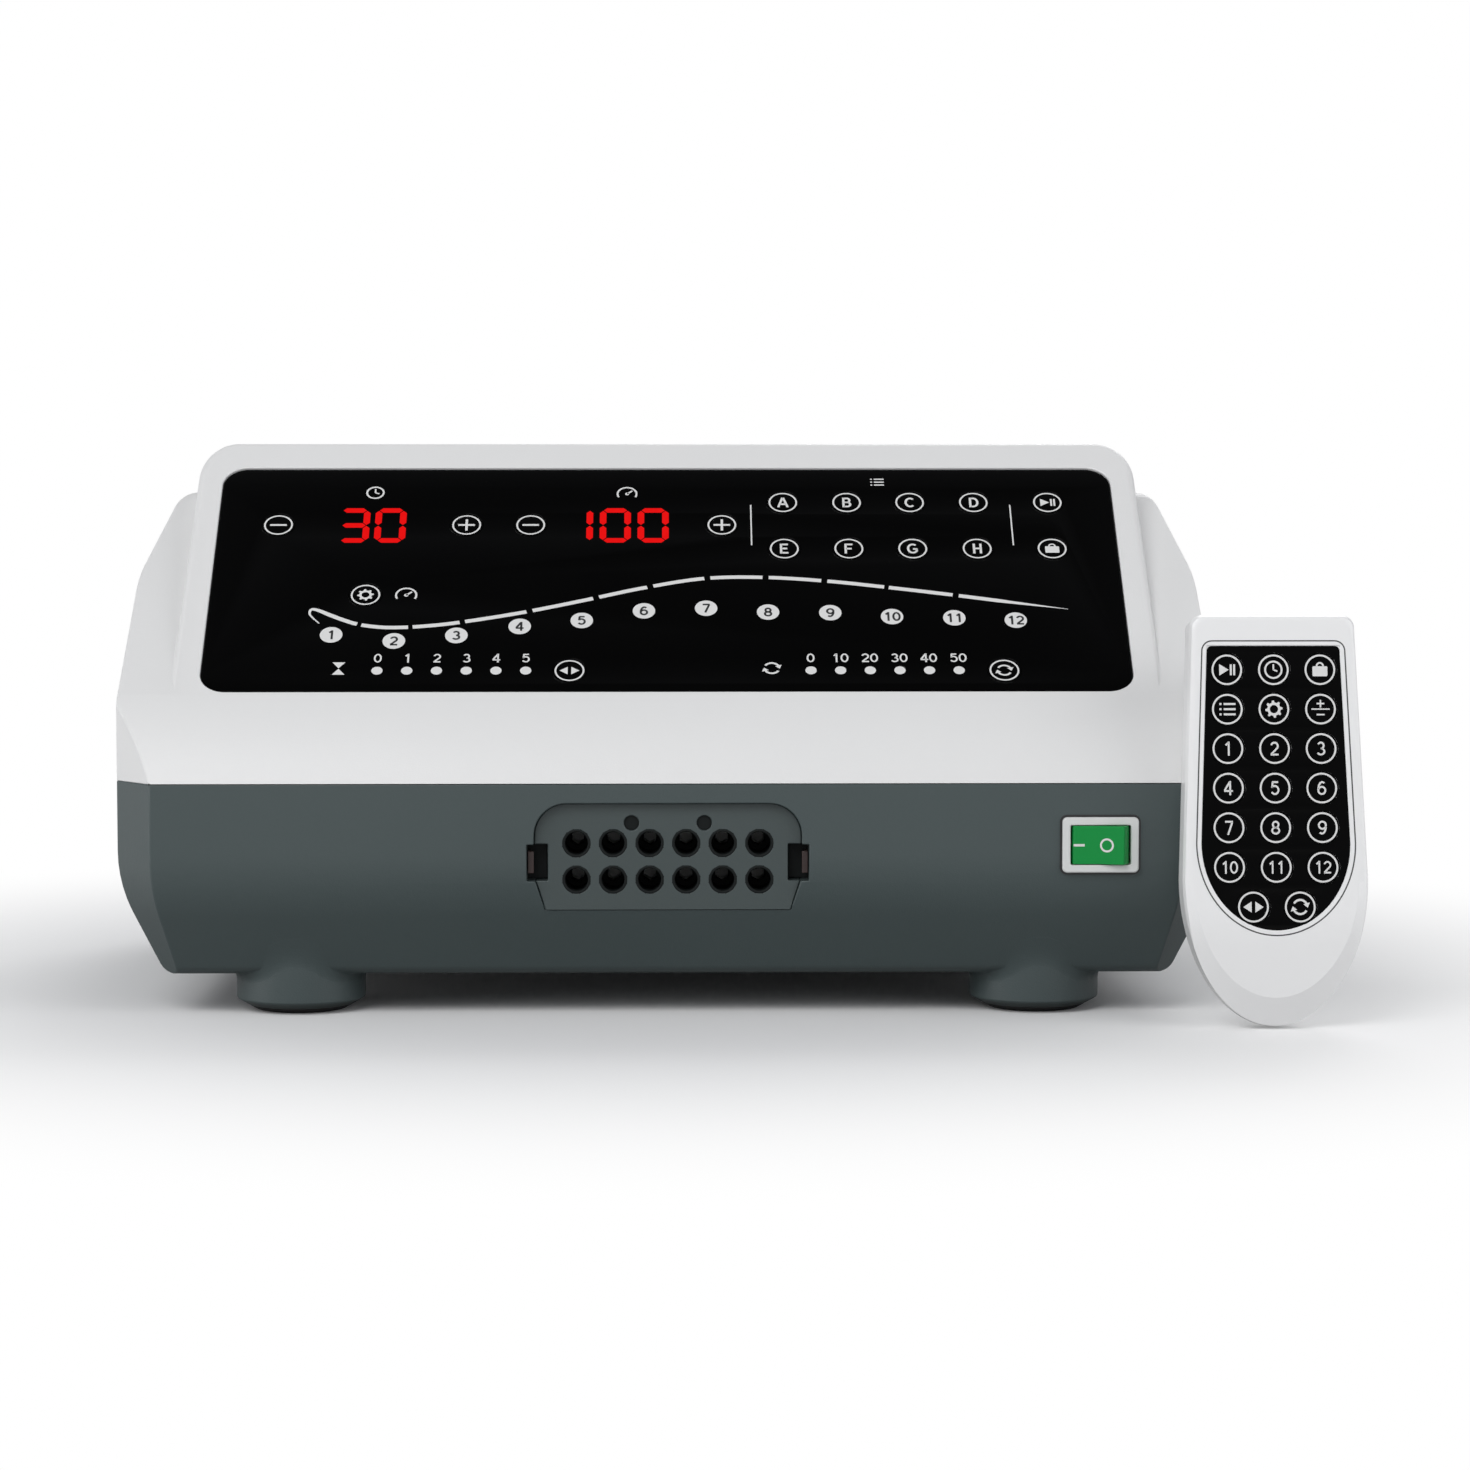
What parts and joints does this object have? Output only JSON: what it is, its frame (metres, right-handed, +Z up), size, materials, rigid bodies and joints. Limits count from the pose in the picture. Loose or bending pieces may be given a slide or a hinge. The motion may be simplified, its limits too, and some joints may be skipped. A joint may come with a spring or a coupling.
{
  "type": "compression therapy pump",
  "caption": "Desk console for pneumatic compression therapy with a sloped gloss control panel, a multi-port hose socket and power rocker in the front, and a leaning hand-held remote.",
  "frame": {"origin": "on the table, under the middle of the console", "axes": "+X to the right of someone facing the panel, +Y to the back of the console, +Z up"},
  "size_m": [0.3811, 0.267, 0.1765],
  "materials": {
    "cover_white": "fine moulded grain, satin",
    "housing_dark": "fine moulded grain, matte",
    "pad_rubber": "matte",
    "screw_steel": "plated",
    "panel_black": "gloss",
    "key_black": "gloss",
    "board_green": "solder mask",
    "display_red": "tinted filter",
    "socket_dark": "satin",
    "clip_brown": "satin",
    "valve_white": "satin",
    "rotor_plastic": "machined",
    "motor_steel": "plated",
    "pump_alloy": "die cast",
    "hose_rubber": "satin silicone",
    "frame_white": "satin gloss",
    "rocker_green": "translucent gloss",
    "inlet_black": "satin",
    "remote_white": "satin",
    "cell_jacket": "satin"
  },
  "bodies": {
    "housing": {"top_cover": "cover_white", "base_housing": "housing_dark", "foot_pads": "pad_rubber", "housing_screws": "screw_steel", "control_panel": "panel_black", "control_board": "board_green", "led_displays": "display_red", "hose_socket": "socket_dark", "latch_clips": "clip_brown", "valve_block": "valve_white", "valve_motor": "motor_steel", "compressor": "pump_alloy", "air_hose": "hose_rubber", "power_supply": "board_green", "switch_frame": "frame_white", "mains_inlet": "inlet_black"},
    "rocker": {"power_rocker": "rocker_green"},
    "remote": {"remote_front_shell": "remote_white", "remote_back_shell": "remote_white", "remote_board": "board_green", "batteries": "cell_jacket"},
    "door": {"battery_door": "remote_white"},
    "rotor": {"valve_rotor": "rotor_plastic"},
    "key_time_minus": {"key_time_minus": "key_black"},
    "key_time_plus": {"key_time_plus": "key_black"},
    "key_pressure_minus": {"key_pressure_minus": "key_black"},
    "key_pressure_plus": {"key_pressure_plus": "key_black"},
    "key_program_a": {"key_program_a": "key_black"},
    "key_program_b": {"key_program_b": "key_black"},
    "key_program_c": {"key_program_c": "key_black"},
    "key_program_d": {"key_program_d": "key_black"},
    "key_program_e": {"key_program_e": "key_black"},
    "key_program_f": {"key_program_f": "key_black"},
    "key_program_g": {"key_program_g": "key_black"},
    "key_program_h": {"key_program_h": "key_black"},
    "key_start_pause": {"key_start_pause": "key_black"},
    "key_lock": {"key_lock": "key_black"},
    "key_individual_pressure": {"key_individual_pressure": "key_black"},
    "key_hold": {"key_hold": "key_black"},
    "key_interval": {"key_interval": "key_black"},
    "remote_key_start_pause": {"remote_key_start_pause": "key_black"},
    "remote_key_time": {"remote_key_time": "key_black"},
    "remote_key_lock": {"remote_key_lock": "key_black"},
    "remote_key_mode": {"remote_key_mode": "key_black"},
    "remote_key_settings": {"remote_key_settings": "key_black"},
    "remote_key_level": {"remote_key_level": "key_black"},
    "remote_key_01": {"remote_key_01": "key_black"},
    "remote_key_02": {"remote_key_02": "key_black"},
    "remote_key_03": {"remote_key_03": "key_black"},
    "remote_key_04": {"remote_key_04": "key_black"},
    "remote_key_05": {"remote_key_05": "key_black"},
    "remote_key_06": {"remote_key_06": "key_black"},
    "remote_key_07": {"remote_key_07": "key_black"},
    "remote_key_08": {"remote_key_08": "key_black"},
    "remote_key_09": {"remote_key_09": "key_black"},
    "remote_key_10": {"remote_key_10": "key_black"},
    "remote_key_11": {"remote_key_11": "key_black"},
    "remote_key_12": {"remote_key_12": "key_black"},
    "remote_key_hold": {"remote_key_hold": "key_black"},
    "remote_key_interval": {"remote_key_interval": "key_black"}
  },
  "joints": [
    {"name": "power_rocker_tilt", "type": "hinge", "parent": "housing", "child": "rocker", "pos_m": [0.1323, -0.1184, 0.05375], "axis": [0, 0, 1], "range_deg": [0, 18]},
    {"name": "remote_lift", "type": "slide", "parent": "housing", "child": "remote", "axis": [0, 0, 1], "range_m": [0, 0.15]},
    {"name": "battery_door_swing", "type": "hinge", "parent": "remote", "child": "door", "pos_m": [0.183, -0.12647, 0.01872], "axis": [-1, 0, 0], "range_deg": [0, 90]},
    {"name": "valve_rotor_turn", "type": "hinge", "parent": "housing", "child": "rotor", "pos_m": [0, -0.0756, 0.0485], "axis": [0, 1, 0], "continuous": true},
    {"name": "key_time_minus_press", "type": "slide", "parent": "housing", "child": "key_time_minus", "axis": [0, 0.6574, -0.7536], "range_m": [0, 0.0004], "stiffness_N_per_m": 400, "springref_m": -0.001},
    {"name": "key_time_plus_press", "type": "slide", "parent": "housing", "child": "key_time_plus", "axis": [0, 0.6574, -0.7536], "range_m": [0, 0.0004], "stiffness_N_per_m": 400, "springref_m": -0.001},
    {"name": "key_pressure_minus_press", "type": "slide", "parent": "housing", "child": "key_pressure_minus", "axis": [0, 0.6574, -0.7536], "range_m": [0, 0.0004], "stiffness_N_per_m": 400, "springref_m": -0.001},
    {"name": "key_pressure_plus_press", "type": "slide", "parent": "housing", "child": "key_pressure_plus", "axis": [0, 0.6574, -0.7536], "range_m": [0, 0.0004], "stiffness_N_per_m": 400, "springref_m": -0.001},
    {"name": "key_program_a_press", "type": "slide", "parent": "housing", "child": "key_program_a", "axis": [0, 0.6574, -0.7536], "range_m": [0, 0.0004], "stiffness_N_per_m": 400, "springref_m": -0.001},
    {"name": "key_program_b_press", "type": "slide", "parent": "housing", "child": "key_program_b", "axis": [0, 0.6574, -0.7536], "range_m": [0, 0.0004], "stiffness_N_per_m": 400, "springref_m": -0.001},
    {"name": "key_program_c_press", "type": "slide", "parent": "housing", "child": "key_program_c", "axis": [0, 0.6574, -0.7536], "range_m": [0, 0.0004], "stiffness_N_per_m": 400, "springref_m": -0.001},
    {"name": "key_program_d_press", "type": "slide", "parent": "housing", "child": "key_program_d", "axis": [0, 0.6574, -0.7536], "range_m": [0, 0.0004], "stiffness_N_per_m": 400, "springref_m": -0.001},
    {"name": "key_program_e_press", "type": "slide", "parent": "housing", "child": "key_program_e", "axis": [0, 0.6574, -0.7536], "range_m": [0, 0.0004], "stiffness_N_per_m": 400, "springref_m": -0.001},
    {"name": "key_program_f_press", "type": "slide", "parent": "housing", "child": "key_program_f", "axis": [0, 0.6574, -0.7536], "range_m": [0, 0.0004], "stiffness_N_per_m": 400, "springref_m": -0.001},
    {"name": "key_program_g_press", "type": "slide", "parent": "housing", "child": "key_program_g", "axis": [0, 0.6574, -0.7536], "range_m": [0, 0.0004], "stiffness_N_per_m": 400, "springref_m": -0.001},
    {"name": "key_program_h_press", "type": "slide", "parent": "housing", "child": "key_program_h", "axis": [0, 0.6574, -0.7536], "range_m": [0, 0.0004], "stiffness_N_per_m": 400, "springref_m": -0.001},
    {"name": "key_start_pause_press", "type": "slide", "parent": "housing", "child": "key_start_pause", "axis": [0, 0.6574, -0.7536], "range_m": [0, 0.0004], "stiffness_N_per_m": 400, "springref_m": -0.001},
    {"name": "key_lock_press", "type": "slide", "parent": "housing", "child": "key_lock", "axis": [0, 0.6574, -0.7536], "range_m": [0, 0.0004], "stiffness_N_per_m": 400, "springref_m": -0.001},
    {"name": "key_individual_pressure_press", "type": "slide", "parent": "housing", "child": "key_individual_pressure", "axis": [0, 0.6574, -0.7536], "range_m": [0, 0.0004], "stiffness_N_per_m": 400, "springref_m": -0.001},
    {"name": "key_hold_press", "type": "slide", "parent": "housing", "child": "key_hold", "axis": [0, 0.6574, -0.7536], "range_m": [0, 0.0004], "stiffness_N_per_m": 400, "springref_m": -0.001},
    {"name": "key_interval_press", "type": "slide", "parent": "housing", "child": "key_interval", "axis": [0, 0.6574, -0.7536], "range_m": [0, 0.0004], "stiffness_N_per_m": 400, "springref_m": -0.001},
    {"name": "remote_key_start_pause_press", "type": "slide", "parent": "remote", "child": "remote_key_start_pause", "axis": [0, 0.9877, -0.1564], "range_m": [0, 0.0005], "stiffness_N_per_m": 400, "springref_m": -0.001},
    {"name": "remote_key_time_press", "type": "slide", "parent": "remote", "child": "remote_key_time", "axis": [0, 0.9877, -0.1564], "range_m": [0, 0.0005], "stiffness_N_per_m": 400, "springref_m": -0.001},
    {"name": "remote_key_lock_press", "type": "slide", "parent": "remote", "child": "remote_key_lock", "axis": [0, 0.9877, -0.1564], "range_m": [0, 0.0005], "stiffness_N_per_m": 400, "springref_m": -0.001},
    {"name": "remote_key_mode_press", "type": "slide", "parent": "remote", "child": "remote_key_mode", "axis": [0, 0.9877, -0.1564], "range_m": [0, 0.0005], "stiffness_N_per_m": 400, "springref_m": -0.001},
    {"name": "remote_key_settings_press", "type": "slide", "parent": "remote", "child": "remote_key_settings", "axis": [0, 0.9877, -0.1564], "range_m": [0, 0.0005], "stiffness_N_per_m": 400, "springref_m": -0.001},
    {"name": "remote_key_level_press", "type": "slide", "parent": "remote", "child": "remote_key_level", "axis": [0, 0.9877, -0.1564], "range_m": [0, 0.0005], "stiffness_N_per_m": 400, "springref_m": -0.001},
    {"name": "remote_key_01_press", "type": "slide", "parent": "remote", "child": "remote_key_01", "axis": [0, 0.9877, -0.1564], "range_m": [0, 0.0005], "stiffness_N_per_m": 400, "springref_m": -0.001},
    {"name": "remote_key_02_press", "type": "slide", "parent": "remote", "child": "remote_key_02", "axis": [0, 0.9877, -0.1564], "range_m": [0, 0.0005], "stiffness_N_per_m": 400, "springref_m": -0.001},
    {"name": "remote_key_03_press", "type": "slide", "parent": "remote", "child": "remote_key_03", "axis": [0, 0.9877, -0.1564], "range_m": [0, 0.0005], "stiffness_N_per_m": 400, "springref_m": -0.001},
    {"name": "remote_key_04_press", "type": "slide", "parent": "remote", "child": "remote_key_04", "axis": [0, 0.9877, -0.1564], "range_m": [0, 0.0005], "stiffness_N_per_m": 400, "springref_m": -0.001},
    {"name": "remote_key_05_press", "type": "slide", "parent": "remote", "child": "remote_key_05", "axis": [0, 0.9877, -0.1564], "range_m": [0, 0.0005], "stiffness_N_per_m": 400, "springref_m": -0.001},
    {"name": "remote_key_06_press", "type": "slide", "parent": "remote", "child": "remote_key_06", "axis": [0, 0.9877, -0.1564], "range_m": [0, 0.0005], "stiffness_N_per_m": 400, "springref_m": -0.001},
    {"name": "remote_key_07_press", "type": "slide", "parent": "remote", "child": "remote_key_07", "axis": [0, 0.9877, -0.1564], "range_m": [0, 0.0005], "stiffness_N_per_m": 400, "springref_m": -0.001},
    {"name": "remote_key_08_press", "type": "slide", "parent": "remote", "child": "remote_key_08", "axis": [0, 0.9877, -0.1564], "range_m": [0, 0.0005], "stiffness_N_per_m": 400, "springref_m": -0.001},
    {"name": "remote_key_09_press", "type": "slide", "parent": "remote", "child": "remote_key_09", "axis": [0, 0.9877, -0.1564], "range_m": [0, 0.0005], "stiffness_N_per_m": 400, "springref_m": -0.001},
    {"name": "remote_key_10_press", "type": "slide", "parent": "remote", "child": "remote_key_10", "axis": [0, 0.9877, -0.1564], "range_m": [0, 0.0005], "stiffness_N_per_m": 400, "springref_m": -0.001},
    {"name": "remote_key_11_press", "type": "slide", "parent": "remote", "child": "remote_key_11", "axis": [0, 0.9877, -0.1564], "range_m": [0, 0.0005], "stiffness_N_per_m": 400, "springref_m": -0.001},
    {"name": "remote_key_12_press", "type": "slide", "parent": "remote", "child": "remote_key_12", "axis": [0, 0.9877, -0.1564], "range_m": [0, 0.0005], "stiffness_N_per_m": 400, "springref_m": -0.001},
    {"name": "remote_key_hold_press", "type": "slide", "parent": "remote", "child": "remote_key_hold", "axis": [0, 0.9877, -0.1564], "range_m": [0, 0.0005], "stiffness_N_per_m": 400, "springref_m": -0.001},
    {"name": "remote_key_interval_press", "type": "slide", "parent": "remote", "child": "remote_key_interval", "axis": [0, 0.9877, -0.1564], "range_m": [0, 0.0005], "stiffness_N_per_m": 400, "springref_m": -0.001}
  ]
}
